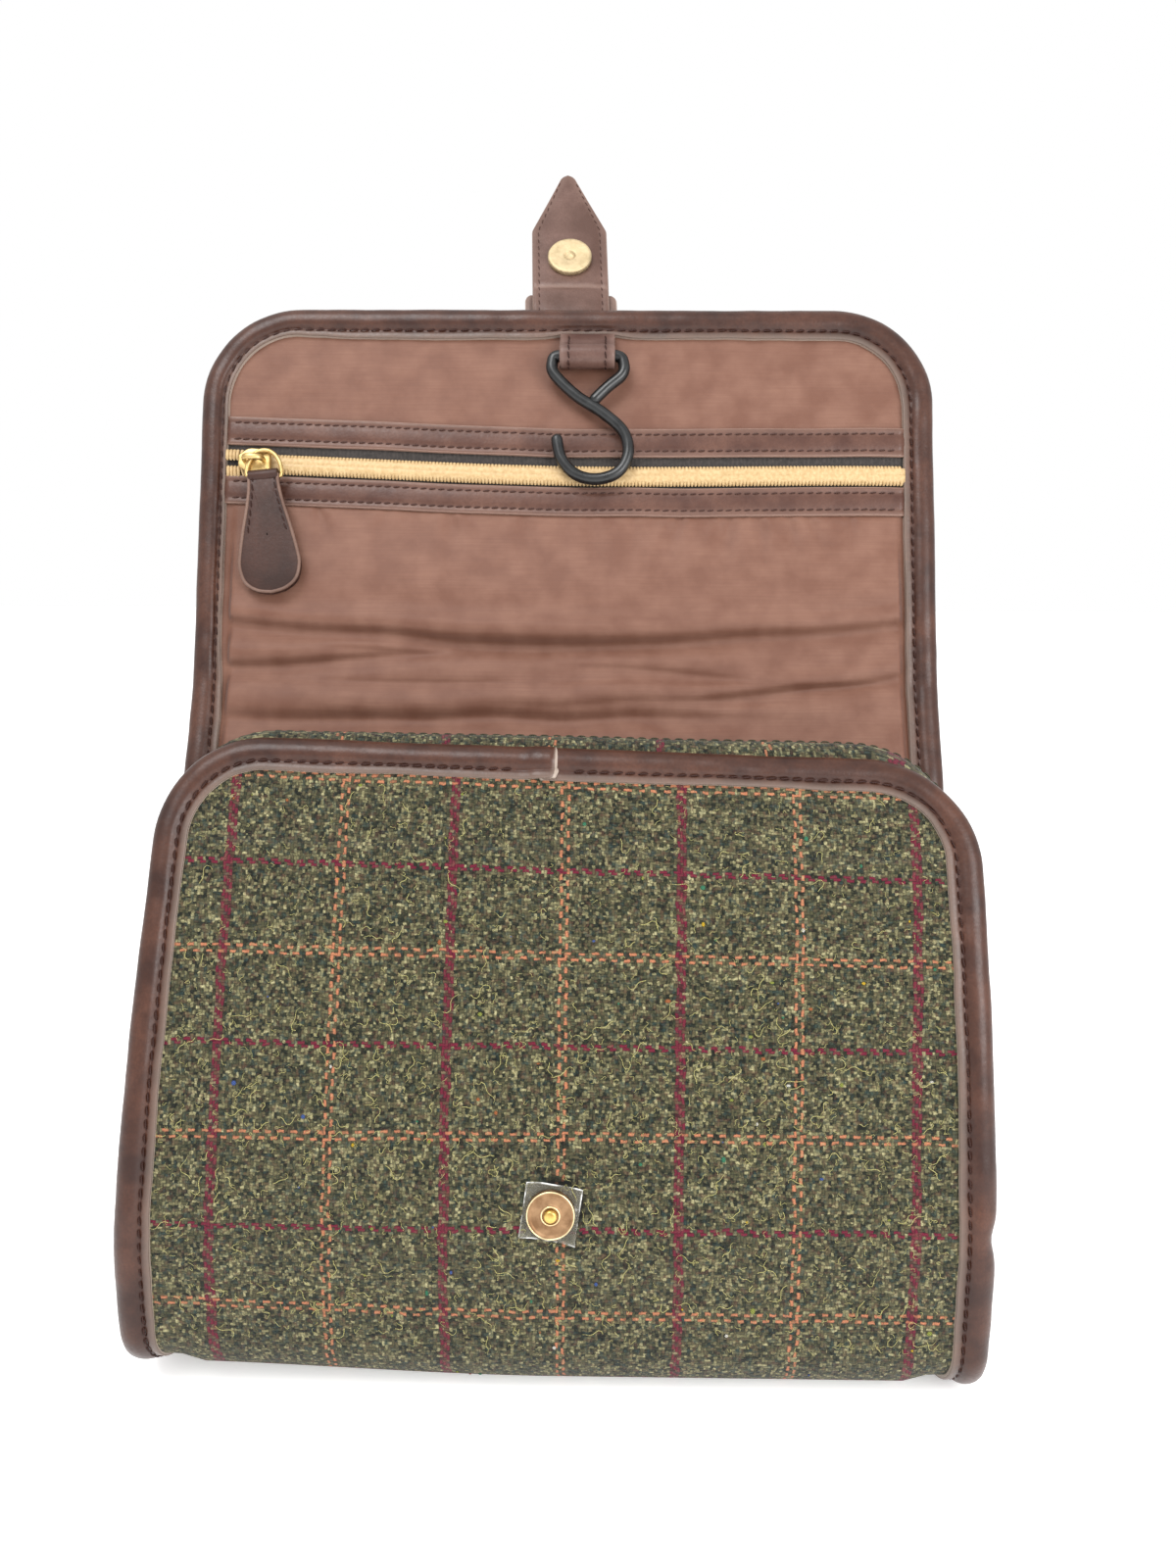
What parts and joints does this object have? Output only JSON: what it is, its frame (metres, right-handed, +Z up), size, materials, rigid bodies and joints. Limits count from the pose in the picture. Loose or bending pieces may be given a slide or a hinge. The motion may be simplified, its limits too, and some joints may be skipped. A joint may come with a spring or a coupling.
{
  "type": "hanging toiletry bag",
  "caption": "Tweed toiletry bag standing open: zipped body, upright lined flap with zip pocket, hanging hook and snap strap.",
  "frame": {"origin": "centre of the bag's base, on the surface that it stands on", "axes": "+X to the right as seen from the front, +Y to the back, +Z up the standing bag"},
  "size_m": [0.2695, 0.1722, 0.3876],
  "materials": {
    "tweed": "green wool tweed with a burgundy and orange windowpane check",
    "leatherette": "dark brown leatherette, semi-gloss",
    "nylon_lining": "brown woven nylon, satin",
    "zip_tape": "black woven tape",
    "zip_coil": "golden nylon coil",
    "gold_metal": "polished gold plate",
    "copper_gold_metal": "brushed copper-gold plate",
    "pale_gold_metal": "pale gold plate, satin",
    "clear_film": "clear protective film",
    "black_plastic": "black coated wire, semi-gloss"
  },
  "bodies": {
    "bag": {"outer_shell": "tweed", "gusset_front": "tweed", "gusset_back": "tweed", "edge_binding": "leatherette", "zip_band_upper": "leatherette", "zip_band_lower": "leatherette", "hook_loop": "leatherette", "closure_strap": "leatherette", "strap_base": "leatherette", "zip_puller": "leatherette", "flap_lining": "nylon_lining", "pocket_panel": "nylon_lining", "main_zip_tape": "zip_tape", "pocket_zip_tape": "zip_tape", "main_zip_coil": "zip_coil", "pocket_zip_coil": "zip_coil", "main_zip_slider": "gold_metal", "main_zip_pull": "gold_metal", "pocket_zip_slider": "gold_metal", "puller_ring": "gold_metal", "front_snap": "copper_gold_metal", "strap_snap": "pale_gold_metal", "snap_film": "clear_film"},
    "hook": {"s_hook": "black_plastic"}
  },
  "joints": [
    {"name": "hook_swing", "type": "hinge", "parent": "bag", "child": "hook", "pos_m": [0.0072, 0.07639, 0.31499], "axis": [1, 0, 0], "range_deg": [-110, 0]}
  ]
}
